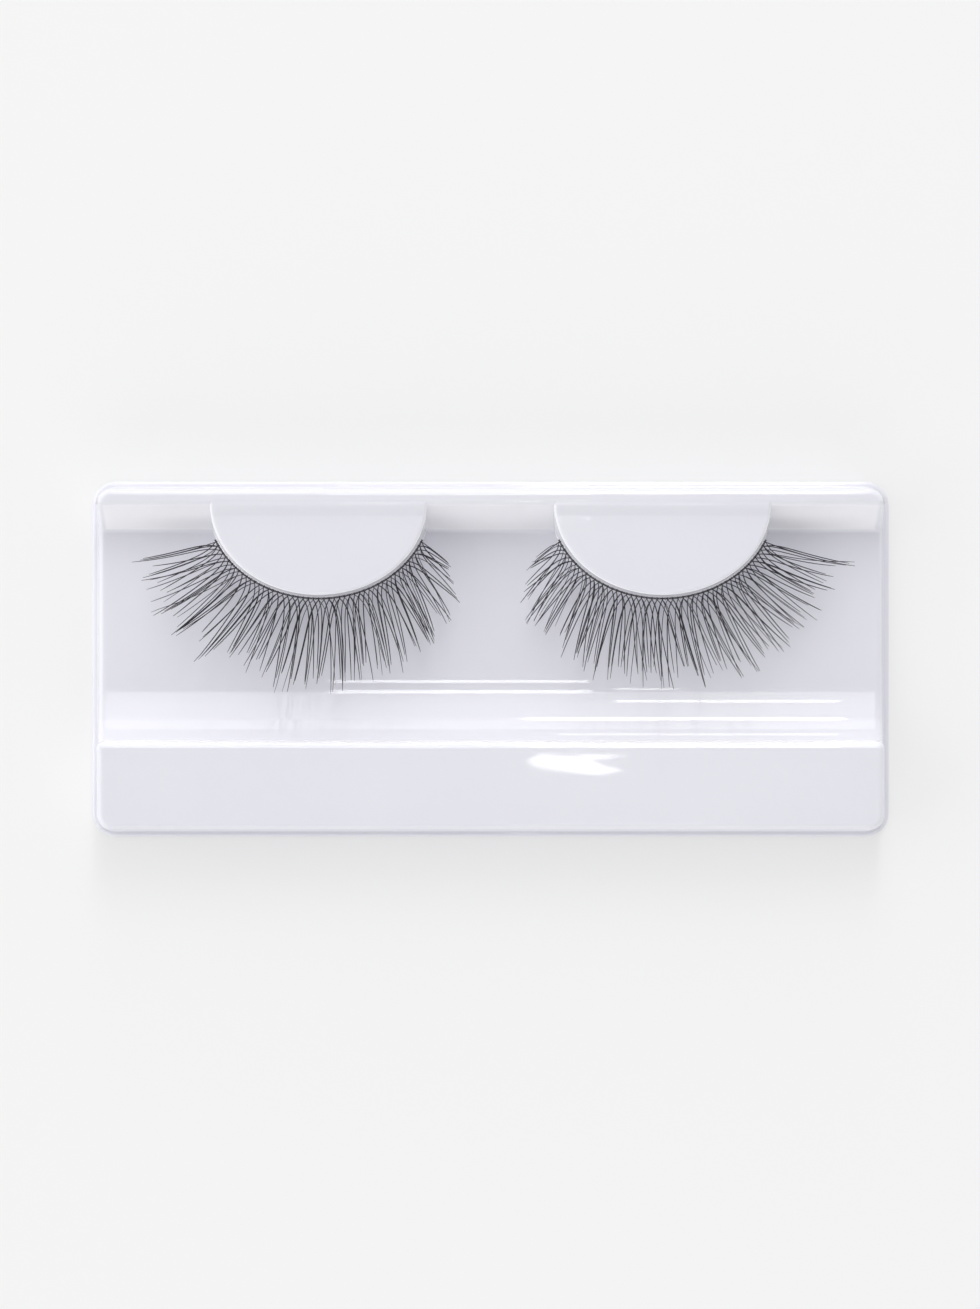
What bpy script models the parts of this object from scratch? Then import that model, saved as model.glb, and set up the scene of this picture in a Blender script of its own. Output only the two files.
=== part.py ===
"""A pair of strip lashes on a shallow display tray, in metres, +Z up.

The tray is one thin formed sheet, hollow underneath: a rim bar along the back, a well
that runs out at both ends, a raised panel along the front, and two half-oval bosses.
Each strip is a thread band that follows the wall of its boss, with the lashes knotted
to it. The origin is the centre of the tray's footprint, on the surface it stands on.
"""

import math

import bmesh
import bpy
from mathutils import Vector

MM = 0.001

# Tray sheet and outline
TRAY_LENGTH = 105.0 * MM
TRAY_WIDTH = 46.8 * MM
TRAY_HEIGHT = 9.0 * MM
SHEET = 0.5 * MM
FLANGE = 0.9 * MM
WALL_CORNER = 2.3 * MM
WALL_LEAN = 0.25 * MM
EDGE_FILLET = 0.75 * MM
FOOT_FILLET = 0.4 * MM

# Well, cut through from end to end
FLOOR_HEIGHT = 2.0 * MM
RIM_WIDTH = 2.3 * MM
BACK_SLOPE = 3.2 * MM
FRONT_SLOPE = 8.6 * MM
PANEL_WIDTH = 11.2 * MM
BEND = 0.9 * MM

# Half-oval bosses that carry the strips
BOSS_PITCH = 44.9 * MM
BOSS_WIDTH = 28.3 * MM
BOSS_REACH = 11.85 * MM
BOSS_DROP = 0.5 * MM
BOSS_RAMP = 1.6 * MM
BOSS_FILLET = 0.45 * MM
BOSS_LEAN = 0.35 * MM
BOSS_FLARE = 0.6 * MM

# Strips
CLEARANCE = 0.2 * MM
BAND_DROP = 1.5 * MM
BAND_THICKNESS = 0.3 * MM
BAND_OPENING = 22.0
KNOT_DEPTH = 0.3 * MM
KNOT_HEIGHT = 0.5 * MM
LASH_LENGTH = 12.6 * MM
LASH_DIP = 4.5 * MM
LASH_LIFT = 6.0 * MM
LOCK_PITCH = 1.15 * MM
LOCK_GAP = 0.25 * MM
LOCK_STAGGER = 0.6 * MM

# Front of the well, from the floor to the panel: share of FRONT_SLOPE, share of the rise
SLOPE_BENDS = (
    (0.00, 0.00),
    (0.18, 0.01),
    (0.32, 0.04),
    (0.57, 0.13),
    (0.63, 0.19),
    (0.79, 0.34),
    (0.92, 0.46),
    (1.00, 1.00),
)

# Fan of the lashes: share along the band from its outer end, share of LASH_LENGTH,
# and how far the lashes lean to the outer corner, in degrees
FAN = (
    (0.00, 0.87, 16.0),
    (0.13, 0.96, 14.0),
    (0.26, 0.99, 10.0),
    (0.50, 1.00, 9.0),
    (0.61, 1.01, 14.0),
    (0.73, 0.95, 16.0),
    (0.85, 0.84, 20.0),
    (0.94, 0.72, 22.0),
    (1.00, 0.42, 6.0),
)

# One lock: share of its length, share of its root width, share of its root height
LOCK_SECTIONS = (
    (0.16, 0.92, 0.90),
    (0.36, 0.86, 0.80),
    (0.58, 0.70, 0.66),
    (0.80, 0.42, 0.50),
    (1.00, 0.12, 0.24),
)

# How finely curves are cut into flats, and how far cutters run past the sheet
CORNER_STEPS = 6
BEND_STEPS = 3
BOSS_STEPS = 36
FLARE_STEPS = 3
BAND_STEPS = 56
OVERRUN = 1.0 * MM
SKIM = 0.02 * MM

WALL_LENGTH = TRAY_LENGTH - 2 * FLANGE
WALL_WIDTH = TRAY_WIDTH - 2 * FLANGE
RIM_EDGE = WALL_WIDTH / 2 - RIM_WIDTH
PANEL_EDGE = PANEL_WIDTH - WALL_WIDTH / 2
BOSS_TOP = TRAY_HEIGHT - BOSS_DROP
BAND_HEIGHT = BOSS_TOP - BAND_DROP


def material(name, colour, roughness, metallic=0.0):
    made = bpy.data.materials.new(name)
    made.use_nodes = True
    shader = made.node_tree.nodes["Principled BSDF"]
    shader.inputs["Base Color"].default_value = (*colour, 1.0)
    shader.inputs["Roughness"].default_value = roughness
    shader.inputs["Metallic"].default_value = metallic
    return made


def add_object(name, mesh, finish=None, helper=False):
    """Turns a bmesh into a named object. A helper only cuts or joins, and isn't rendered."""
    bmesh.ops.recalc_face_normals(mesh, faces=mesh.faces)
    data = bpy.data.meshes.new(name)
    mesh.to_mesh(data)
    mesh.free()
    made = bpy.data.objects.new(name, data)
    bpy.context.scene.collection.objects.link(made)
    if helper:
        made.hide_render = True
        made.display_type = "WIRE"
    else:
        data.materials.append(finish)
        data.shade_smooth()
        data.set_sharp_from_angle(angle=math.radians(35))
    return made


def combine(target, operation, other):
    step = target.modifiers.new(f"{operation.lower()} {other.name}", "BOOLEAN")
    step.operation = operation
    step.solver = "EXACT"
    step.object = other


def between(table, share):
    """Reads a table of rows (share, value, value...) at a share between its rows."""
    for low, high in zip(table, table[1:]):
        if share <= high[0]:
            part = (share - low[0]) / (high[0] - low[0])
            return [a + (b - a) * part for a, b in zip(low[1:], high[1:])]
    return list(table[-1][1:])


def skin(mesh, loops):
    """Closes a stack of point loops, all of one length, into a solid."""
    rings = [[mesh.verts.new(point) for point in loop] for loop in loops]
    for lower, upper in zip(rings, rings[1:]):
        for i in range(len(lower)):
            j = (i + 1) % len(lower)
            mesh.faces.new((lower[i], lower[j], upper[j], upper[i]))
    mesh.faces.new(rings[0])
    return rings[-1]


def rounded_rectangle(half_length, half_width, corner, height):
    points = []
    for quarter, (sx, sy) in enumerate(((1, 1), (-1, 1), (-1, -1), (1, -1))):
        centre = Vector((sx * (half_length - corner), sy * (half_width - corner), height))
        for step in range(CORNER_STEPS + 1):
            turn = math.radians(90) * (quarter + step / CORNER_STEPS)
            points.append(centre + corner * Vector((math.cos(turn), math.sin(turn), 0)))
    return points


def walls(inset):
    """The four-sided outer form, with the flange where inset is nothing."""
    top = TRAY_HEIGHT - inset
    fillet = max(EDGE_FILLET - inset, SHEET / 5)
    rows = [(0.0, -OVERRUN)] if inset else [(-FLANGE, 0.0), (-FLANGE, SHEET)]
    if not inset:
        for step in range(BEND_STEPS + 1):
            turn = math.radians(90) * step / BEND_STEPS
            out = FOOT_FILLET * (1 - math.sin(turn))
            rows.append((-out, SHEET + FOOT_FILLET * (1 - math.cos(turn))))
    for step in range(BEND_STEPS + 1):
        turn = math.radians(90) * step / BEND_STEPS
        inward = WALL_LEAN + fillet * (1 - math.cos(turn))
        rows.append((inward, top - fillet * (1 - math.sin(turn))))
    mesh = bmesh.new()
    loops = []
    for inward, height in rows:
        shrink = inset + inward
        corner = max(WALL_CORNER - shrink, SHEET / 5)
        loops.append(rounded_rectangle(WALL_LENGTH / 2 - shrink, WALL_WIDTH / 2 - shrink, corner, height))
    mesh.faces.new(skin(mesh, loops))
    return mesh


def well_line():
    """Bends of the well seen from its end, from the rim bar to the panel, as (y, z)."""
    rise = TRAY_HEIGHT - FLOOR_HEIGHT
    foot = PANEL_EDGE + FRONT_SLOPE
    line = [(RIM_EDGE + 2 * BEND, TRAY_HEIGHT + SKIM), (RIM_EDGE, TRAY_HEIGHT)]
    line.append((RIM_EDGE - BACK_SLOPE, FLOOR_HEIGHT))
    line += [(foot - run * FRONT_SLOPE, FLOOR_HEIGHT + up * rise) for run, up in SLOPE_BENDS]
    line.append((PANEL_EDGE - 2 * BEND, TRAY_HEIGHT + SKIM))
    return [Vector(point) for point in line]


def offset_line(line, distance):
    """Moves a line into the sheet by the same distance everywhere, mitred at its bends."""
    sides = []
    for start, end in zip(line, line[1:]):
        along = (end - start).normalized()
        sides.append(Vector((-along.y, along.x)))
    moved = []
    for i, point in enumerate(line):
        before = sides[max(i - 1, 0)]
        after = sides[min(i, len(sides) - 1)]
        middle = (before + after).normalized()
        moved.append(point + middle * distance / middle.dot(after))
    return moved


def rounded_line(line, radius):
    """Rounds the bends of a line, each by no more than the flats beside it allow."""
    rounded = [line[0]]
    for before, corner, after in zip(line, line[1:], line[2:]):
        back = before - corner
        ahead = after - corner
        turn = math.pi - back.angle(ahead)
        trim = min(radius * math.tan(turn / 2), 0.45 * back.length, 0.45 * ahead.length)
        start = corner + back.normalized() * trim
        end = corner + ahead.normalized() * trim
        for step in range(BEND_STEPS + 1):
            share = step / BEND_STEPS
            rounded.append(start.lerp(corner, share).lerp(corner.lerp(end, share), share))
    rounded.append(line[-1])
    return rounded


def well_cutter(inset):
    line = rounded_line(offset_line(well_line(), inset), BEND)
    ceiling = TRAY_HEIGHT + OVERRUN
    outline = [Vector((line[0].x, ceiling)), *line, Vector((line[-1].x, ceiling))]
    half = TRAY_LENGTH / 2 + OVERRUN
    mesh = bmesh.new()
    ring = [mesh.verts.new((-half, point.x, point.y)) for point in outline]
    end = mesh.faces.new(ring)
    grown = bmesh.ops.extrude_face_region(mesh, geom=[end])
    moved = [item for item in grown["geom"] if isinstance(item, bmesh.types.BMVert)]
    bmesh.ops.translate(mesh, verts=moved, vec=(2 * half, 0, 0))
    return mesh


def boss_outline(outset):
    """Half of the oval, then the flare that runs into the rim bar, as (x, y) about the boss."""
    half = BOSS_WIDTH / 2 + outset
    reach = BOSS_REACH + outset
    points = []
    for step in range(BOSS_STEPS // 2 + 1):
        turn = math.radians(90) * step / (BOSS_STEPS // 2)
        points.append((half * math.sin(turn), -reach * math.cos(turn)))
    for step in range(1, FLARE_STEPS + 1):
        turn = math.radians(90) * step / FLARE_STEPS
        out = BOSS_FLARE * (1 - math.cos(turn))
        points.append((half + out, BOSS_FLARE * math.sin(turn)))
    return points


def boss_top(y):
    """Height of a boss's top, which ramps up to the rim bar behind it."""
    share = min(max((y - RIM_EDGE + BOSS_RAMP) / BOSS_RAMP, 0.0), 1.0)
    eased = share * share * (3 - 2 * share)
    return BOSS_TOP + (BOSS_DROP - SKIM) * eased


def bosses(inset):
    """Both bosses in one mesh. Their feet end inside the floor."""
    foot = FLOOR_HEIGHT / 2 - inset
    fillet = max(BOSS_FILLET - inset, SHEET / 5)
    height = BOSS_TOP - FLOOR_HEIGHT
    mesh = bmesh.new()
    for side in (-1, 1):
        loops = []
        rows = [(BOSS_LEAN * (BOSS_TOP - foot) / height, None)]
        for step in range(BEND_STEPS + 1):
            turn = math.radians(90) * step / BEND_STEPS
            rows.append((-fillet * (1 - math.cos(turn)), fillet * (1 - math.sin(turn))))
        for outset, drop in rows:
            outline = boss_outline(outset - inset)
            whole = [(-x, y) for x, y in reversed(outline)] + outline[1:]
            loop = []
            for x, y in whole:
                y += RIM_EDGE
                z = foot if drop is None else boss_top(y) - inset - drop
                loop.append(Vector((side * BOSS_PITCH / 2 + x, y, z)))
            loops.append(loop)
        top = skin(mesh, loops)
        for i in range(len(top) // 2):
            strip = (top[i], top[i + 1], top[-i - 2], top[-i - 1])
            mesh.faces.new(dict.fromkeys(strip))
    return mesh


def build_tray(finish):
    tray = add_object("tray", walls(0.0), finish)
    combine(tray, "DIFFERENCE", add_object("well_cutter", well_cutter(0.0), helper=True))
    combine(tray, "UNION", add_object("boss_form", bosses(0.0), helper=True))
    hollow = add_object("hollow", walls(SHEET), helper=True)
    combine(hollow, "DIFFERENCE", add_object("hollow_cutter", well_cutter(SHEET), helper=True))
    combine(hollow, "UNION", add_object("hollow_bosses", bosses(SHEET), helper=True))
    combine(tray, "DIFFERENCE", hollow)


def band_point(share, outset):
    """A place beside a boss's wall, and the way out from it, at a share of the band."""
    wall = BOSS_LEAN * BAND_DROP / (BOSS_TOP - FLOOR_HEIGHT)
    half = BOSS_WIDTH / 2 + wall + outset
    reach = BOSS_REACH + wall + outset
    turn = math.radians(BAND_OPENING + (180 - 2 * BAND_OPENING) * share)
    place = Vector((half * math.cos(turn), RIM_EDGE - reach * math.sin(turn), 0))
    outward = Vector((math.cos(turn) / half, -math.sin(turn) / reach, 0)).normalized()
    return place, outward


def band_length():
    places = [band_point(step / BAND_STEPS, 0.0)[0] for step in range(BAND_STEPS + 1)]
    return sum((b - a).length for a, b in zip(places, places[1:]))


def to_tray(point, side):
    """From a strip's own place, with its outer end at +X, to the tray's left or right."""
    return Vector((side * (BOSS_PITCH / 2 + point.x), point.y, point.z))


def build_band(name, side, finish):
    centre = CLEARANCE + BAND_THICKNESS / 2
    data = bpy.data.curves.new(name, "CURVE")
    data.dimensions = "3D"
    data.bevel_depth = BAND_THICKNESS / 2
    data.bevel_resolution = 1
    data.use_fill_caps = True
    data.materials.append(finish)
    spline = data.splines.new("POLY")
    spline.points.add(BAND_STEPS)
    for i, point in enumerate(spline.points):
        place, _ = band_point(i / BAND_STEPS, centre)
        place.z = BAND_HEIGHT
        point.co = (*to_tray(place, side), 1.0)
    bpy.context.scene.collection.objects.link(bpy.data.objects.new(name, data))


def lock_sections(index, share, root, outward):
    """Centre, direction across, width share and height share of each section of a lock."""
    length, lean = between(FAN, share)
    length = length * LASH_LENGTH - LOCK_STAGGER * (index % 3)
    curl = length / LASH_LENGTH
    heading = math.atan2(outward.y, outward.x)
    place = root.copy()
    reached = 0.0
    for at, width, height in LOCK_SECTIONS:
        way = heading + math.radians(lean) * (0.5 + (at + reached) / 2)
        place = place + Vector((math.cos(way), math.sin(way), 0)) * (at - reached) * length
        place.z = root.z + curl * at * (LASH_LIFT * at - LASH_DIP)
        across = Vector((-math.sin(way), math.cos(way), 0))
        reached = at
        yield place, across, width, height


def build_fringe(name, side, finish):
    """A row of knots beside the band, each lock drawn out of its outer face."""
    inner = 2 * CLEARANCE + BAND_THICKNESS
    count = round(band_length() / LOCK_PITCH)
    half_fill = 0.5 * (1 - LOCK_GAP / LOCK_PITCH)
    mesh = bmesh.new()
    rings = []
    for index in range(count):
        for edge in (-half_fill, half_fill):
            share = (index + 0.5 + edge) / count
            near, _ = band_point(share, inner)
            far, _ = band_point(share, inner + KNOT_DEPTH)
            ring = []
            for place, up in ((near, -1), (far, -1), (far, 1), (near, 1)):
                level = BAND_HEIGHT + up * KNOT_HEIGHT / 2
                ring.append(mesh.verts.new(to_tray(Vector((place.x, place.y, level)), side)))
            rings.append(ring)
    for number, (first, second) in enumerate(zip(rings, rings[1:])):
        for i in range(4):
            j = (i + 1) % 4
            if i != 1 or number % 2:
                mesh.faces.new((first[i], first[j], second[j], second[i]))
    mesh.faces.new(rings[0])
    mesh.faces.new(rings[-1])
    for index in range(count):
        first, second = rings[2 * index], rings[2 * index + 1]
        near_ring = [first[1], first[2], second[2], second[1]]
        share = (index + 0.5) / count
        root, outward = band_point(share, inner + KNOT_DEPTH)
        root.z = BAND_HEIGHT
        half_width = (first[1].co - second[1].co).length / 2
        for place, across, width, height in lock_sections(index, share, root, outward):
            far_ring = []
            for along, up in ((1, -1), (1, 1), (-1, 1), (-1, -1)):
                corner = place + across * along * half_width * width
                corner.z += up * KNOT_HEIGHT / 2 * height
                far_ring.append(mesh.verts.new(to_tray(corner, side)))
            for i in range(4):
                j = (i + 1) % 4
                mesh.faces.new((near_ring[i], near_ring[j], far_ring[j], far_ring[i]))
            near_ring = far_ring
        mesh.faces.new(near_ring)
    add_object(name, mesh, finish)


for old in list(bpy.data.objects):
    bpy.data.objects.remove(old)

white_plastic = material("white gloss plastic", (0.84, 0.84, 0.87), 0.22)
dark_thread = material("dark thread", (0.05, 0.05, 0.055), 0.6)
dark_fibre = material("dark lash fibre", (0.02, 0.02, 0.024), 0.42)

build_tray(white_plastic)
for side_name, side in (("left", -1), ("right", 1)):
    build_band(f"lash_band_{side_name}", side, dark_thread)
    build_fringe(f"lash_fringe_{side_name}", side, dark_fibre)
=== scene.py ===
import math
import random

import bmesh
import bpy
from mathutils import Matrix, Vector


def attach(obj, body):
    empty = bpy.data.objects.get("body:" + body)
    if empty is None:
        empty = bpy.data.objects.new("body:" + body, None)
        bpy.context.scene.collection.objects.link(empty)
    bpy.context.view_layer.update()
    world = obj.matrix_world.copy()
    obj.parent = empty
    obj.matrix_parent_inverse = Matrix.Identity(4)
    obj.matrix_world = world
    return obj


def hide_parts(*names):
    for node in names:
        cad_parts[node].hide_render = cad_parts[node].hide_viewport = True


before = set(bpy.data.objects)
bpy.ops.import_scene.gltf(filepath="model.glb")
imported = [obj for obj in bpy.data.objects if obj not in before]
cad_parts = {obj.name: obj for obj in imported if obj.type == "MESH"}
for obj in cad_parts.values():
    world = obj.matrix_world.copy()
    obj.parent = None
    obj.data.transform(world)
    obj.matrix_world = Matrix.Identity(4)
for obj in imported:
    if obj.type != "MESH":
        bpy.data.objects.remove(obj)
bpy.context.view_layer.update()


# Tray: one sheet of glossy white polystyrene, half a millimetre thick, drawn hot over a mould.
# Rim bar, well, bosses and panel are one skin, hollow underneath, and the sheet was trimmed
# to a narrow flange round the foot.
MM = 0.001
TRAY_LENGTH = 105.0 * MM
TRAY_WIDTH = 46.8 * MM
TRAY_HEIGHT = 9.0 * MM
SHEET = 0.5 * MM
FLANGE = 0.9 * MM
WALL_CORNER = 2.3 * MM
WALL_LEAN = 0.25 * MM
EDGE_FILLET = 0.75 * MM
FOOT_FILLET = 0.4 * MM
WALL_LENGTH = TRAY_LENGTH - 2 * FLANGE
WALL_WIDTH = TRAY_WIDTH - 2 * FLANGE
WALL_FOOT = SHEET + FOOT_FILLET
SKIM = 0.02 * MM


def bevelled(mesh, geom, width, segments, affect="EDGES"):
    bmesh.ops.bevel(
        mesh, geom=geom, offset=width, offset_type="OFFSET", affect=affect,
        segments=segments, profile=0.5, material=-1,
    )


def extruded(mesh, faces, vec):
    """Draws faces out of a mesh, and returns the points and faces of the moved copy."""
    grown = bmesh.ops.extrude_face_region(mesh, geom=faces)
    moved = [item for item in grown["geom"] if isinstance(item, bmesh.types.BMVert)]
    fresh = [item for item in grown["geom"] if isinstance(item, bmesh.types.BMFace)]
    bmesh.ops.translate(mesh, verts=moved, vec=vec)
    return moved, fresh


def new_object(name, mesh):
    data = bpy.data.meshes.new(name)
    mesh.to_mesh(data)
    mesh.free()
    made = bpy.data.objects.new(name, data)
    bpy.context.scene.collection.objects.link(made)
    return made


def combined(first, operation, second):
    """Joins or cuts two closed meshes and returns the result as a new one."""
    for mesh in (first, second):
        bmesh.ops.recalc_face_normals(mesh, faces=mesh.faces)
    target = new_object("first", first)
    other = new_object("second", second)
    step = target.modifiers.new("combine", "BOOLEAN")
    step.operation = operation
    step.solver = "EXACT"
    step.object = other
    result = bmesh.new()
    result.from_object(target, bpy.context.evaluated_depsgraph_get())
    for used in (target, other):
        bpy.data.objects.remove(used)
    bmesh.ops.remove_doubles(result, verts=result.verts, dist=SKIM / 20)
    return result


blank = bmesh.new()
bmesh.ops.create_cube(blank, size=1.0)
bmesh.ops.scale(blank, verts=blank.verts, vec=(WALL_LENGTH, WALL_WIDTH, TRAY_HEIGHT - WALL_FOOT))
bmesh.ops.translate(blank, verts=blank.verts, vec=(0, 0, (TRAY_HEIGHT + WALL_FOOT) / 2))
for vert in blank.verts:
    if vert.co.z > TRAY_HEIGHT / 2:
        vert.co.x *= 1 - 2 * WALL_LEAN / WALL_LENGTH
        vert.co.y *= 1 - 2 * WALL_LEAN / WALL_WIDTH

# The well is cut through from end to end: rim edge, back slope, floor, stepped front slope
FLOOR_HEIGHT = 2.0 * MM
RIM_WIDTH = 2.3 * MM
BACK_SLOPE = 3.2 * MM
FRONT_SLOPE = 8.15 * MM
PANEL_WIDTH = 11.65 * MM
BEND = 0.9 * MM
BEND_STEPS = 8
BEND_ROOM = 0.45
GENTLE_TURN = math.radians(30)
RISER_TRIM = 0.2 * MM
PANEL_BEND = EDGE_FILLET + 0.1 * MM
RIM_EDGE = WALL_WIDTH / 2 - RIM_WIDTH
PANEL_EDGE = PANEL_WIDTH - WALL_WIDTH / 2

# Front slope, from the floor to the panel: share of its run, share of its rise
SLOPE_BENDS = (
    (0.000, 0.000),
    (0.190, 0.010),
    (0.338, 0.040),
    (0.633, 0.140),
    (0.696, 0.187),
    (0.834, 0.290),
    (0.985, 0.415),
    (1.000, 1.000),
)

rise = TRAY_HEIGHT - FLOOR_HEIGHT
slope_foot = PANEL_EDGE + FRONT_SLOPE
well_line = [(RIM_EDGE + 2 * BEND, TRAY_HEIGHT + SKIM), (RIM_EDGE, TRAY_HEIGHT)]
well_line.append((RIM_EDGE - BACK_SLOPE, FLOOR_HEIGHT))
well_line += [(slope_foot - run * FRONT_SLOPE, FLOOR_HEIGHT + up * rise) for run, up in SLOPE_BENDS]
well_line.append((PANEL_EDGE - 2 * BEND, TRAY_HEIGHT + SKIM))
ceiling = TRAY_HEIGHT + EDGE_FILLET
well_line = [(well_line[0][0], ceiling), *well_line, (well_line[-1][0], ceiling)]

well = bmesh.new()
corners = [well.verts.new((-TRAY_LENGTH / 2, y, z)) for y, z in well_line]
trims = []
for before, corner, after in zip(corners[1:], corners[2:-2], corners[3:]):
    back = before.co - corner.co
    ahead = after.co - corner.co
    turned = math.pi - back.angle(ahead)
    room = BEND_ROOM * min(back.length, ahead.length)
    trims.append(room if turned < GENTLE_TURN else min(BEND * math.tan(turned / 2), room))

# The riser has a tight foot, and the panel's edge is just wide enough for the rounded top edge
trims[-2] = RISER_TRIM
trims[-1] = PANEL_BEND * math.tan(turned / 2)
well.faces.new(corners)
for corner, trim in zip(corners[2:-2], trims):
    if trim > SKIM:
        bevelled(well, [corner], trim, BEND_STEPS, affect="VERTICES")
extruded(well, well.faces[:], (TRAY_LENGTH, 0, 0))
tray_form = combined(blank, "DIFFERENCE", well)

# Each boss is half an oval that stands out of the back slope and flares into the rim bar
BOSS_PITCH = 44.9 * MM
BOSS_WIDTH = 28.3 * MM
BOSS_REACH = 11.85 * MM
BOSS_DROP = 0.5 * MM
BOSS_RAMP = 1.6 * MM
BOSS_FILLET = 0.45 * MM
BOSS_LEAN = 0.35 * MM
BOSS_FLARE = 0.6 * MM
BOSS_TOP = TRAY_HEIGHT - BOSS_DROP
BOSS_SIDES = 160
FLARE_STEPS = 4
FILLET_STEPS = 5
RAMP_STEPS = 8


def eased(share):
    share = min(max(share, 0.0), 1.0)
    return share * share * (3 - 2 * share)


def widen(verts, outset):
    """Moves a boss's outline outwards. The boss stands at the origin, its back at y = 0."""
    for vert in verts:
        x, y, _ = vert.co
        side = min(max(x / (BOSS_WIDTH / 2), -1.0), 1.0)
        vert.co += Vector((outset * side, outset * min(y, 0.0) / BOSS_REACH, 0))


boss_sections = [(BOSS_LEAN + FOOT_FILLET, FLOOR_HEIGHT - SHEET / 2)]
for step in range(FILLET_STEPS + 1):
    turn = math.radians(90) * step / FILLET_STEPS
    out = BOSS_LEAN + FOOT_FILLET * (1 - math.sin(turn))
    boss_sections.append((out, FLOOR_HEIGHT - SKIM + FOOT_FILLET * (1 - math.cos(turn))))
for step in range(FILLET_STEPS + 1):
    turn = math.radians(90) * step / FILLET_STEPS
    out = -BOSS_FILLET * (1 - math.cos(turn))
    boss_sections.append((out, BOSS_TOP - BOSS_FILLET * (1 - math.sin(turn))))

for side in (-1, 1):
    boss = bmesh.new()
    bmesh.ops.create_circle(boss, cap_ends=True, segments=BOSS_SIDES, radius=1.0)
    geom = boss.verts[:] + boss.edges[:] + boss.faces[:]
    bmesh.ops.bisect_plane(boss, geom=geom, plane_co=(0, 0, 0), plane_no=(0, 1, 0), clear_outer=True)
    bmesh.ops.scale(boss, verts=boss.verts, vec=(BOSS_WIDTH / 2, BOSS_REACH, 1.0))
    back = max(boss.edges, key=lambda edge: edge.calc_length())
    for step in range(1, FLARE_STEPS + 1):
        turn = math.radians(90) * step / FLARE_STEPS
        grown = bmesh.ops.extrude_edge_only(boss, edges=[back])["geom"]
        back = next(item for item in grown if isinstance(item, bmesh.types.BMEdge))
        for vert in back.verts:
            half = BOSS_WIDTH / 2 + BOSS_FLARE * (1 - math.cos(turn))
            vert.co.x = math.copysign(half, vert.co.x)
            vert.co.y = BOSS_FLARE * math.sin(turn)
    outset, height = boss_sections[0]
    widen(boss.verts, outset)
    bmesh.ops.translate(boss, verts=boss.verts, vec=(0, 0, height))
    cap = boss.faces[:]
    for number, (next_outset, next_height) in enumerate(boss_sections[1:]):
        moved, fresh = extruded(boss, cap, (0, 0, next_height - height))
        widen(moved, next_outset - outset)
        if number:
            bmesh.ops.delete(boss, geom=cap, context="FACES")
        outset, height, cap = next_outset, next_height, fresh
    for step in range(RAMP_STEPS):
        geom = boss.verts[:] + boss.edges[:] + boss.faces[:]
        line = (0, BOSS_RAMP * (step / RAMP_STEPS - 1), 0)
        bmesh.ops.bisect_plane(boss, geom=geom, plane_co=line, plane_no=(0, 1, 0))
    for vert in boss.verts:
        if vert.co.z > TRAY_HEIGHT / 2:
            vert.co.z += (BOSS_DROP - SKIM) * eased(vert.co.y / BOSS_RAMP + 1)
    bmesh.ops.translate(boss, verts=boss.verts, vec=(side * BOSS_PITCH / 2, RIM_EDGE, 0))
    tray_form = combined(tray_form, "UNION", boss)

# The outer top edge is rounded, along the bar and panel and down the ends of the well
EDGE_STEPS = 6
UPRIGHT = 0.1
corner_x = WALL_LENGTH / 2 - WALL_CORNER
corner_y = WALL_WIDTH / 2 - WALL_CORNER


def is_outer_wall(face):
    x, y, _ = face.calc_center_median()
    return abs(face.normal.z) < UPRIGHT and (abs(x) > corner_x or abs(y) > corner_y)


tray_form.normal_update()
top_edges = []
for edge in tray_form.edges:
    sides = [is_outer_wall(face) for face in edge.link_faces]
    if sides.count(True) == 1 and min(v.co.z for v in edge.verts) > WALL_FOOT + SKIM:
        top_edges.append(edge)
bevelled(tray_form, top_edges, EDGE_FILLET, EDGE_STEPS)

# The rim bar falls a little towards its outer edge, as the sheet draws over the mould
RIM_FALL = math.radians(1.3)
for vert in tray_form.verts:
    if vert.co.y > RIM_EDGE and vert.co.z > TRAY_HEIGHT / 2:
        vert.co.z -= math.tan(RIM_FALL) * (vert.co.y - RIM_EDGE)

# The upright corners are cut into strips, which then bend from a square round to a quarter circle
CORNER_STEPS = 5
for step in range(CORNER_STEPS):
    past = WALL_CORNER * math.tan(math.radians(45) * step / CORNER_STEPS)
    for axis, start in ((Vector((1, 0, 0)), corner_x), (Vector((0, 1, 0)), corner_y)):
        for way in (-1, 1):
            geom = tray_form.verts[:] + tray_form.edges[:] + tray_form.faces[:]
            line = axis * way * (start + past)
            bmesh.ops.bisect_plane(tray_form, geom=geom, dist=SKIM / 20, plane_co=line, plane_no=axis)


def past_corner(point):
    """How far a point lies past the centre of the nearest upright corner, never less than nothing."""
    x = math.copysign(max(abs(point.x) - corner_x, 0.0), point.x)
    y = math.copysign(max(abs(point.y) - corner_y, 0.0), point.y)
    return Vector((x, y, 0))


for vert in tray_form.verts:
    square = past_corner(vert.co)
    if min(abs(square.x), abs(square.y)) > 0:
        vert.co += square.normalized() * max(abs(square.x), abs(square.y)) - square

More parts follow.
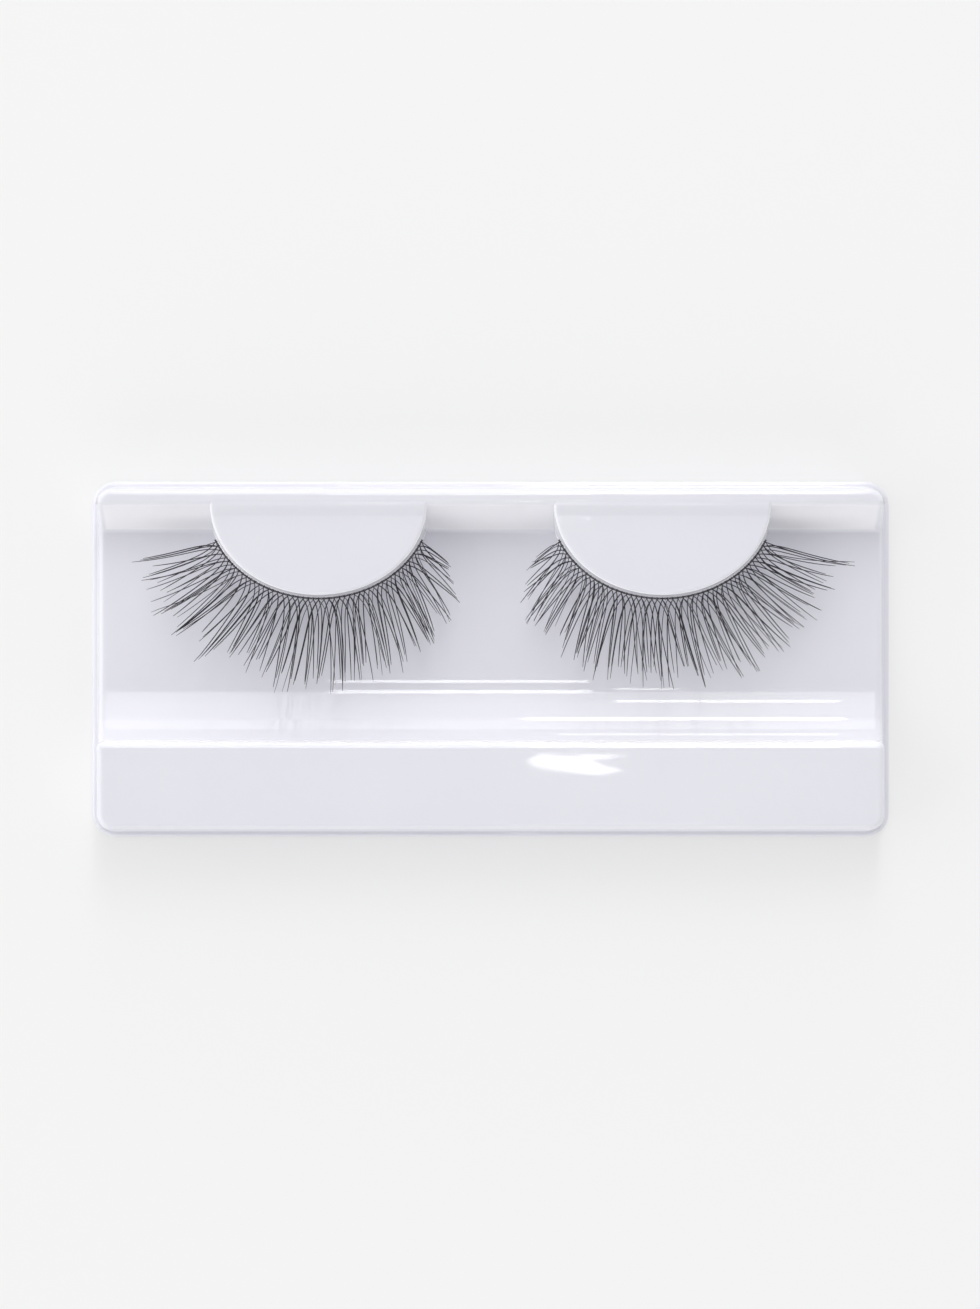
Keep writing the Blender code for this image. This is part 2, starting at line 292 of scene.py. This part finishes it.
# The underside is opened and the flange drawn out round the foot
FACING_DOWN = -0.9
tray_form.normal_update()
under = []
for face in tray_form.faces:
    if face.normal.z < FACING_DOWN and face.calc_center_median().z < WALL_FOOT + SKIM:
        under.append(face)
bmesh.ops.delete(tray_form, geom=under, context="FACES")
rim = [edge for edge in tray_form.edges if edge.is_boundary]
flange_rows = []
for step in range(1, FILLET_STEPS + 1):
    turn = math.radians(90) * step / FILLET_STEPS
    flange_rows.append((FOOT_FILLET * (1 - math.cos(turn)), WALL_FOOT - FOOT_FILLET * math.sin(turn)))
flange_rows.append((FLANGE, SHEET))
reached = 0.0
for out, height in flange_rows:
    grown = bmesh.ops.extrude_edge_only(tray_form, edges=rim)["geom"]
    rim = [item for item in grown if isinstance(item, bmesh.types.BMEdge)]
    for vert in {vert for edge in rim for vert in edge.verts}:
        vert.co += past_corner(vert.co).normalized() * (out - reached)
        vert.co.z = height
    reached = out
bmesh.ops.dissolve_degenerate(tray_form, edges=tray_form.edges, dist=SKIM / 20)
SHARP_TURN = math.radians(40)
tray = new_object("tray_sheet", tray_form)
tray.data.shade_smooth()
tray.data.set_sharp_from_angle(angle=SHARP_TURN)
wall = tray.modifiers.new("sheet thickness", "SOLIDIFY")
wall.thickness = SHEET - SKIM
wall.offset = -1.0
even = tray.modifiers.new("even shading", "WEIGHTED_NORMAL")
even.keep_sharp = True


def new_group(name, inputs, output):
    """A shader node group of plain numbers, with its input and output nodes."""
    group = bpy.data.node_groups.new(name, "ShaderNodeTree")
    for socket in inputs:
        group.interface.new_socket(socket, in_out="INPUT", socket_type="NodeSocketFloat")
    group.interface.new_socket(output, in_out="OUTPUT", socket_type="NodeSocketFloat")
    return group, group.nodes.new("NodeGroupInput"), group.nodes.new("NodeGroupOutput")


# A cloud that runs from a low value to a high one
mottle, source, result = new_group("mottle", ("Scale", "Low", "High"), "Value")
place = mottle.nodes.new("ShaderNodeTexCoord")
cloud = mottle.nodes.new("ShaderNodeTexNoise")
cloud.inputs["Detail"].default_value = 3.0
spread = mottle.nodes.new("ShaderNodeMapRange")
spread.inputs["From Min"].default_value = 0.3
spread.inputs["From Max"].default_value = 0.7
mottle.links.new(place.outputs["Object"], cloud.inputs["Vector"])
mottle.links.new(source.outputs["Scale"], cloud.inputs["Scale"])
mottle.links.new(cloud.outputs["Fac"], spread.inputs["Value"])
mottle.links.new(source.outputs["Low"], spread.inputs["To Min"])
mottle.links.new(source.outputs["High"], spread.inputs["To Max"])
mottle.links.new(spread.outputs["Result"], result.inputs["Value"])


def new_material(name, colour, roughness):
    made = bpy.data.materials.new(name)
    made.use_nodes = True
    shader = made.node_tree.nodes["Principled BSDF"]
    shader.inputs["Base Color"].default_value = (*colour, 1.0)
    shader.inputs["Roughness"].default_value = roughness
    return made, made.node_tree, shader


def add_mottle(tree, scale, low, high):
    node = tree.nodes.new("ShaderNodeGroup")
    node.node_tree = mottle
    node.inputs["Scale"].default_value = scale
    node.inputs["Low"].default_value = low
    node.inputs["High"].default_value = high
    return node.outputs["Value"]


def add_mix(tree, factor, low_colour, high_colour):
    node = tree.nodes.new("ShaderNodeMix")
    node.data_type = "RGBA"
    node.inputs["A"].default_value = (*low_colour, 1.0)
    node.inputs["B"].default_value = (*high_colour, 1.0)
    tree.links.new(factor, node.inputs["Factor"])
    return node.outputs["Result"]


def add_bump(tree, height, distance, strength):
    node = tree.nodes.new("ShaderNodeBump")
    node.inputs["Distance"].default_value = distance
    node.inputs["Strength"].default_value = strength
    tree.links.new(height, node.inputs["Height"])
    return node.outputs["Normal"]


def add_math(tree, operation, first, second=None):
    node = tree.nodes.new("ShaderNodeMath")
    node.operation = operation
    tree.links.new(first, node.inputs[0])
    if second is not None:
        tree.links.new(second, node.inputs[1])
    return node.outputs["Value"]


def add_range(tree, value, low, high, start=0.0, end=1.0):
    node = tree.nodes.new("ShaderNodeMapRange")
    node.interpolation_type = "SMOOTHSTEP"
    tree.links.new(value, node.inputs["Value"])
    node.inputs["From Min"].default_value = low
    node.inputs["From Max"].default_value = high
    node.inputs["To Min"].default_value = start
    node.inputs["To Max"].default_value = end
    return node.outputs["Result"]


# Painted light: the steep walls inside the tray get a paler base colour, a painted brightness that
# stands in for the light those walls catch
WALL_FACING = 0.50
SLOPE_FACING = 0.86
INSIDE_FADE = 0.6 * MM
reaches = {"X": "Inside Length", "Y": "Inside Width"}
painted_wall_light, source, result = new_group("stretched sheet", reaches.values(), "Mask")
place = painted_wall_light.nodes.new("ShaderNodeTexCoord")
spot = painted_wall_light.nodes.new("ShaderNodeSeparateXYZ")
facing = painted_wall_light.nodes.new("ShaderNodeSeparateXYZ")
painted_wall_light.links.new(place.outputs["Object"], spot.inputs["Vector"])
painted_wall_light.links.new(place.outputs["Normal"], facing.inputs["Vector"])
level = add_math(painted_wall_light, "ABSOLUTE", facing.outputs["Z"])
steep = add_range(painted_wall_light, level, WALL_FACING, SLOPE_FACING, 1.0, 0.0)
for axis, reach in reaches.items():
    away = add_math(painted_wall_light, "ABSOLUTE", spot.outputs[axis])
    past = add_math(painted_wall_light, "SUBTRACT", away, source.outputs[reach])
    inside = add_range(painted_wall_light, past, 0.0, INSIDE_FADE, 1.0, 0.0)
    steep = add_math(painted_wall_light, "MULTIPLY", steep, inside)
painted_wall_light.links.new(steep, result.inputs["Mask"])

LILAC_WHITE = (0.755, 0.753, 0.822)
CLEAR_WHITE = (0.767, 0.765, 0.825)
# Paler white painted on the steep inner walls, as painted light
PAINTED_WALL_WHITE = (0.925, 0.923, 0.968)
PLASTIC_ROUGHNESS = (0.010, 0.022)
OUTER_WALL = 2.2 * MM
plastic, tree, shader = new_material("tray_plastic", CLEAR_WHITE, PLASTIC_ROUGHNESS[1])
shader.inputs["IOR"].default_value = 1.5
shader.inputs["Subsurface Weight"].default_value = 0.5
shader.inputs["Subsurface Scale"].default_value = 1.0 * MM
shader.inputs["Subsurface Radius"].default_value = (1.0, 1.0, 1.0)
tint = add_mottle(tree, 45.0, 0.0, 1.0)
sheet_white = add_mix(tree, tint, LILAC_WHITE, CLEAR_WHITE)
# Mask of the painted light: steep faces that lie inside the outer wall
painted_wall_mask = tree.nodes.new("ShaderNodeGroup")
painted_wall_mask.node_tree = painted_wall_light
painted_wall_mask.inputs["Inside Length"].default_value = TRAY_LENGTH / 2 - OUTER_WALL
painted_wall_mask.inputs["Inside Width"].default_value = TRAY_WIDTH / 2 - OUTER_WALL
# Mixes the painted light into the sheet's colour on the steep inner walls
painted_wall_colour = tree.nodes.new("ShaderNodeMix")
painted_wall_colour.data_type = "RGBA"
tree.links.new(painted_wall_mask.outputs["Mask"], painted_wall_colour.inputs["Factor"])
tree.links.new(sheet_white, painted_wall_colour.inputs["A"])
painted_wall_colour.inputs["B"].default_value = (*PAINTED_WALL_WHITE, 1.0)
tree.links.new(painted_wall_colour.outputs["Result"], shader.inputs["Base Color"])
tree.links.new(add_mottle(tree, 400.0, *PLASTIC_ROUGHNESS), shader.inputs["Roughness"])
drawn = add_mottle(tree, 70.0, 0.0, 1.0)
tree.links.new(add_bump(tree, drawn, 0.05 * MM, 0.045), shader.inputs["Normal"])
tray.data.materials.append(plastic)
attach(tray, "root")
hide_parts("tray")


# Band: a thin dark cotton thread, two plies twisted together, that follows the wall of its boss.
# The lashes are knotted to it, and a trace of tack holds it beside the plastic.
BAND_DROP = 1.5 * MM
BAND_THICKNESS = 0.3 * MM
BAND_OPENING = 22.0
CLEARANCE = 0.2 * MM
BAND_HEIGHT = BOSS_TOP - BAND_DROP
THREAD_LINE = CLEARANCE + BAND_THICKNESS / 2
PLY = 0.13 * MM
TWIST_PITCH = 0.75 * MM
TWIST_STEPS = 10
BAND_MARKS = 100


def band_point(share, outset):
    """A place beside a boss's wall, and the way out from it, at a share of the band."""
    wall_out = BOSS_LEAN * BAND_DROP / (BOSS_TOP - FLOOR_HEIGHT)
    half = BOSS_WIDTH / 2 + wall_out + outset
    reach = BOSS_REACH + wall_out + outset
    turn = math.radians(BAND_OPENING + (180 - 2 * BAND_OPENING) * share)
    point = Vector((half * math.cos(turn), RIM_EDGE - reach * math.sin(turn), BAND_HEIGHT))
    outward = Vector((math.cos(turn) / half, -math.sin(turn) / reach, 0)).normalized()
    return point, outward


def to_tray(point, side):
    """From a strip's own place, with its outer end at +X, to the tray's left or right."""
    return Vector((side * (BOSS_PITCH / 2 + point.x), point.y, point.z))


marks = [band_point(step / BAND_MARKS, THREAD_LINE)[0] for step in range(BAND_MARKS + 1)]
BAND_LENGTH = sum((b - a).length for a, b in zip(marks, marks[1:]))


def strand_object(name, strands, thickness, rounding):
    """Tubes through lists of (point, share of the thickness), joined in one closed mesh."""
    curve = bpy.data.curves.new(name, "CURVE")
    curve.dimensions = "3D"
    curve.bevel_depth = thickness / 2
    curve.bevel_resolution = rounding
    curve.use_fill_caps = True
    for strand in strands:
        spline = curve.splines.new("POLY")
        spline.points.add(len(strand) - 1)
        for spot, (point, size) in zip(spline.points, strand):
            spot.co = (*point, 1.0)
            spot.radius = size
    guide = bpy.data.objects.new(name, curve)
    bpy.context.scene.collection.objects.link(guide)
    graph = bpy.context.evaluated_depsgraph_get()
    tubes = bpy.data.meshes.new_from_object(guide.evaluated_get(graph))
    mesh = bmesh.new()
    mesh.from_mesh(tubes)
    bpy.data.objects.remove(guide)
    bpy.data.curves.remove(curve)
    bpy.data.meshes.remove(tubes)
    bmesh.ops.remove_doubles(mesh, verts=mesh.verts, dist=SKIM / 20)
    bmesh.ops.recalc_face_normals(mesh, faces=mesh.faces)
    made = new_object(name, mesh)
    made.data.shade_smooth()
    return made


THREAD_DARK = (0.018, 0.017, 0.019)
THREAD_LIGHT = (0.060, 0.056, 0.060)
thread, tree, shader = new_material("band_thread", THREAD_DARK, 0.6)
shade = add_mix(tree, add_mottle(tree, 4000.0, 0.0, 1.0), THREAD_DARK, THREAD_LIGHT)
tree.links.new(shade, shader.inputs["Base Color"])
tree.links.new(add_mottle(tree, 2500.0, 0.5, 0.75), shader.inputs["Roughness"])

for side_name, side in (("left", -1), ("right", 1)):
    turns = round(BAND_LENGTH / TWIST_PITCH)
    plies = []
    for phase in (0, math.pi):
        ply = []
        for step in range(turns * TWIST_STEPS + 1):
            share = step / (turns * TWIST_STEPS)
            angle = 2 * math.pi * turns * share + phase
            spin_out = (BAND_THICKNESS - PLY) / 2
            point, _ = band_point(share, THREAD_LINE + spin_out * math.cos(angle))
            point.z += spin_out * math.sin(angle)
            ply.append((to_tray(point, side), 1.0))
        plies.append(ply)
    band = strand_object(f"band_{side_name}", plies, PLY, 1)
    band.data.materials.append(thread)
    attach(band, "root")
    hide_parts(f"lash_band_{side_name}")


# Lashes: black fibres, folded and knotted round the thread, so that two legs leave each knot
# in a V, cross the neighbouring legs and gather into pointed locks that lean to the outer
# corner, dip a little and lift at their tips.
LASH_THICKNESS = 0.13 * MM
LASH_LENGTH = 12.6 * MM
LASH_DIP = 4.5 * MM
LASH_LIFT = 6.0 * MM
LEAN_AT_KNOT = 0.6
LEAN_AT_TIP = 1.4
TIP_TAPER = 0.55
TAPER_POWER = 8
LASH_STEPS = 14
STEP_POWER = 1.3
LOCK_PITCH = 0.95 * MM
KNOT_PITCH = 0.64 * MM
KNOT_RADIUS = 0.17 * MM
KNOT_THICKNESS = 0.75
KNOT_STEPS = 9
CROSS_REACH = 1.1 * MM
CROSS_STRIDE = 1.0 * MM
CROSS_DRIFT = 1.0 * MM
JOINED_AT = 0.95
JOIN_POWER = 1.2

# Fan of the lashes: share along the band from its outer end, share of LASH_LENGTH,
# and how far the lashes lean to the outer corner, in degrees
FAN = (
    (0.00, 0.93, 16.0),
    (0.12, 0.98, 12.0),
    (0.30, 1.01, 8.0),
    (0.48, 1.00, 5.0),
    (0.62, 1.02, 8.0),
    (0.76, 0.96, 12.0),
    (0.89, 0.82, 12.0),
    (0.96, 0.59, 10.0),
    (1.00, 0.30, 4.0),
)

# How far the lashes differ from each other: ranges to draw from, or a mean and a spread
STRIDE_RANGE = (0.5, 1.0)
DRIFT_RANGE = (0.1, 1.0)
LOCK_JITTER = 0.3
LOCK_ENDS = (0.86, 1.04)
LASH_ENDS = (0.76, 1.0)
STRAY_SHARE = 0.18
STRAY_HOLD = (0.3, 1.5)
STRAY_SIZE = (0.6, 0.8)
LOCK_HOLD = (0.84, 0.10)
LOCK_SIZE = (0.85, 1.1)
LIFT_SPREAD = 0.10 * MM
KNOT_DRIFT = (0.10 * MM, 0.16 * MM)


def between(table, share):
    """Reads a table of rows (share, value, value...) at a share between its rows."""
    for low, high in zip(table, table[1:]):
        if share <= high[0]:
            part = (share - low[0]) / (high[0] - low[0])
            return [a + (b - a) * part for a, b in zip(low[1:], high[1:])]
    return list(table[-1][1:])


def fan_point(share, along):
    """A place in the fan: share of the band where the lash starts, share of the lash's length."""
    length, lean = between(FAN, share)
    point, outward = band_point(share, THREAD_LINE + KNOT_RADIUS)
    heading = math.atan2(outward.y, outward.x)
    turned = along * along / 2
    for part, bend in ((along - turned, LEAN_AT_KNOT), (turned, LEAN_AT_TIP)):
        way = heading + math.radians(lean) * bend
        point += Vector((math.cos(way), math.sin(way), 0)) * part * length * LASH_LENGTH
    point.z += length * along * (LASH_LIFT * along - LASH_DIP)
    return point


def lash(knot_share, way, locks, chance):
    """One leg, from its knot across its neighbours and into a lock, as (point, share of thickness)."""
    stride = chance.uniform(*STRIDE_RANGE) * CROSS_STRIDE / BAND_LENGTH
    crossed_share = knot_share + way * stride
    target = crossed_share + way * chance.uniform(*DRIFT_RANGE) * CROSS_DRIFT / BAND_LENGTH
    if not 0.0 < crossed_share < 1.0:
        crossed_share = target = knot_share
    lock_share, lock_end = min(locks, key=lambda lock: abs(lock[0] - target))
    end = lock_end * chance.uniform(*LASH_ENDS)
    stray = chance.random() < STRAY_SHARE
    hold = chance.uniform(*STRAY_HOLD) if stray else chance.gauss(*LOCK_HOLD)
    size = chance.uniform(*STRAY_SIZE) if stray else chance.uniform(*LOCK_SIZE)
    lift = chance.gauss(0.0, LIFT_SPREAD)
    strand = []
    for step in range(LASH_STEPS + 1):
        along = end * (step / LASH_STEPS) ** STEP_POWER
        crossed = 1 - math.exp(-along * LASH_LENGTH / CROSS_REACH)
        joined = hold * (1 - (1 - min(along / JOINED_AT, 1.0)) ** JOIN_POWER)
        share = knot_share + (crossed_share - knot_share) * crossed
        share += (lock_share - crossed_share) * joined
        point = fan_point(share, along)
        point.z += lift * crossed
        strand.append((point, size * (1.0 - TIP_TAPER * (along / end) ** TAPER_POWER)))
    return strand


def knot(share, chance):
    """The fold of a fibre round the thread, from under it, round its back, to over it."""
    turns = []
    drift = chance.uniform(*KNOT_DRIFT) / BAND_LENGTH
    for step in range(1, KNOT_STEPS):
        part = step / KNOT_STEPS
        angle = 2 * math.pi * part
        point, _ = band_point(share + drift * (part - 0.5), THREAD_LINE + KNOT_RADIUS * math.cos(angle))
        point.z -= KNOT_RADIUS * math.sin(angle)
        turns.append((point, KNOT_THICKNESS))
    return turns


FIBRE_DARK = (0.009, 0.008, 0.012)
FIBRE_LIGHT = (0.025, 0.022, 0.030)
fibre, tree, shader = new_material("lash_fibre", FIBRE_DARK, 0.38)
shade = add_mix(tree, add_mottle(tree, 900.0, 0.0, 1.0), FIBRE_DARK, FIBRE_LIGHT)
tree.links.new(shade, shader.inputs["Base Color"])
tree.links.new(add_mottle(tree, 1500.0, 0.3, 0.5), shader.inputs["Roughness"])

lock_count = round(BAND_LENGTH / LOCK_PITCH)
knot_count = round(BAND_LENGTH / KNOT_PITCH)
for side_name, side, seed in (("left", -1, 11), ("right", 1, 23)):
    chance = random.Random(seed)
    locks = []
    for index in range(lock_count):
        share = (index + 0.5 + chance.uniform(-LOCK_JITTER, LOCK_JITTER)) / lock_count
        locks.append((share, chance.uniform(*LOCK_ENDS)))
    strands = []
    for index in range(knot_count):
        share = (index + 0.5) / knot_count
        for fold in range(1 + index % 2):
            legs = [lash(share, way, locks, chance) for way in (-1, 1)]
            strands.append(legs[0][::-1] + knot(share, chance) + legs[1])
    strands = [[(to_tray(point, side), size) for point, size in strand] for strand in strands]
    fringe = strand_object(f"lashes_{side_name}", strands, LASH_THICKNESS, 1)
    fringe.data.materials.append(fibre)
    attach(fringe, "root")
    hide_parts(f"lash_fringe_{side_name}")


# Surroundings: a plain pale floor, a bright room, soft light from the back, front and left, and
# narrow strips of light overhead that the bends of the glossy sheet mirror as thin lines.
TABLE_DIM = (0.45, 0.45, 0.45)
TABLE_LIGHT = (0.46, 0.46, 0.46)
floor_form = bmesh.new()
bmesh.ops.create_grid(floor_form, x_segments=1, y_segments=1, size=6.0)
floor = new_object("floor", floor_form)
pale, tree, shader = new_material("lit_table", TABLE_DIM, 0.9)
shader.inputs["Specular IOR Level"].default_value = 0.1
shader.inputs["Emission Color"].default_value = (1.0, 1.0, 1.0, 1.0)
shader.inputs["Emission Strength"].default_value = 0.43
shade = add_mix(tree, add_mottle(tree, 3.0, 0.0, 1.0), TABLE_DIM, TABLE_LIGHT)
tree.links.new(shade, shader.inputs["Base Color"])
floor.data.materials.append(pale)

# The room is dim overhead and bright all round, a little more so at the back and the left
DIM_OVERHEAD = 0.25
BRIGHT_ROUND = 1.70
FULLY_BRIGHT = 0.2
ROOM_SLANT = (-0.15, 0.15, -0.80)
world = bpy.data.worlds.new("room")
bpy.context.scene.world = world
world.use_nodes = True
room = world.node_tree
direction = room.nodes.new("ShaderNodeTexCoord")
toward = room.nodes.new("ShaderNodeVectorMath")
toward.operation = "DOT_PRODUCT"
toward.inputs[1].default_value = ROOM_SLANT
fade = room.nodes.new("ShaderNodeMapRange")
fade.inputs["From Min"].default_value = ROOM_SLANT[2]
fade.inputs["From Max"].default_value = FULLY_BRIGHT
fade.inputs["To Min"].default_value = DIM_OVERHEAD
fade.inputs["To Max"].default_value = BRIGHT_ROUND
room.links.new(direction.outputs["Generated"], toward.inputs[0])
room.links.new(toward.outputs["Value"], fade.inputs["Value"])
room.nodes["Background"].inputs["Color"].default_value = (1.0, 1.0, 1.0, 1.0)
room.links.new(fade.outputs["Result"], room.nodes["Background"].inputs["Strength"])


def add_light(name, place, target, size, radiance):
    """A flat rectangular light that the camera doesn't see, of a given brightness."""
    lamp = bpy.data.lights.new(name, "AREA")
    lamp.shape = "RECTANGLE"
    lamp.size, lamp.size_y = size
    lamp.energy = radiance * math.pi * size[0] * size[1]
    made = bpy.data.objects.new(name, lamp)
    made.location = place
    made.rotation_euler = (Vector(target) - Vector(place)).to_track_quat("-Z", "Y").to_euler()
    made.visible_camera = False
    bpy.context.scene.collection.objects.link(made)
    return made


add_light("softbox_back", (0, 0.818, 1.010), (0, 0, 0), (0.36, 1.30), 2.2)
add_light("softbox_front", (0, -1.2, 0.6), (0, 0, 0), (1.6, 0.8), 1.05)
add_light("softbox_left", (-1.2, -0.1, 0.75), (0, 0, 0), (1.4, 1.0), 0.78)

# Strips of light: tilt of the surface that mirrors it, in degrees, left and right end of its
# image on the tray, in millimetres, its width as an angle in degrees, and its brightness
CAMERA_HEIGHT = 0.690
LAMP_DISTANCE = 1.3
MIRROR_LINES = (
    ("floor_line", 1.4, -21.2, 13.1, 1.0, 7.0),
    ("first_bend_line", 6.0, -21.2, 13.1, 4.5, 7.0),
    ("short_line", 4.2, 16.4, 25.0, 3.0, 6.0),
    ("second_bend_line", 13.0, 16.4, 46.1, 3.0, 7.0),
    ("ledge_window", 23.0, 4.5, 47.0, 24.0, 10.0),
    ("faint_line", 34.3, 9.0, 46.0, 1.6, 4.0),
    ("riser_line", 39.5, -50.0, 51.0, 8.0, 5.0),
    ("foot_glint", -12.0, 2.8, 6.5, 8.0, 8.0),
    ("front_line", -2.5, 8.9, 30.3, 2.0, 6.0),
)
for name, tilt, left, right, spread_angle, radiance in MIRROR_LINES:
    across = 1 + LAMP_DISTANCE / CAMERA_HEIGHT
    middle = (left + right) / 2 * MM * across
    angle = math.radians(2 * tilt)
    spot = (middle, LAMP_DISTANCE * math.sin(angle), LAMP_DISTANCE * math.cos(angle))
    size = ((right - left) * MM * across, LAMP_DISTANCE * math.radians(spread_angle))
    add_light(name, spot, (middle, 0, 0), size, radiance)

# A slanting window high over the table, whose arrow-shaped image lies on the raised panel.
# The points are its image's corners on the panel, in millimetres.
WINDOW_GLOW = 8.0
WINDOW_IMAGE = (
    (4.7, -13.1),
    (6.4, -12.0),
    (17.8, -12.1),
    (13.2, -12.9),
    (17.4, -14.5),
    (13.8, -15.0),
    (6.8, -14.1),
)
window_form = bmesh.new()
drop = CAMERA_HEIGHT - TRAY_HEIGHT
for x, y in WINDOW_IMAGE:
    across = 1 + LAMP_DISTANCE / drop
    window_form.verts.new((x * MM * across, y * MM * across, TRAY_HEIGHT + LAMP_DISTANCE))
window_form.faces.new(window_form.verts)
window = new_object("window", window_form)
glow, tree, shader = new_material("window_glow", (0.0, 0.0, 0.0), 1.0)
shader.inputs["Emission Color"].default_value = (1.0, 1.0, 1.0, 1.0)
shader.inputs["Emission Strength"].default_value = WINDOW_GLOW
window.data.materials.append(glow)
window.visible_camera = False
window.visible_diffuse = False
window.visible_shadow = False

camera_data = bpy.data.cameras.new("camera")
camera_data.lens = 143.8
camera_data.sensor_width = 36.0
camera_data.clip_start = 0.01
camera = bpy.data.objects.new("camera", camera_data)
camera.location = (-0.07 * MM, 0.62 * MM, CAMERA_HEIGHT)
bpy.context.scene.collection.objects.link(camera)
bpy.context.scene.camera = camera
bpy.context.scene.view_settings.view_transform = "Standard"
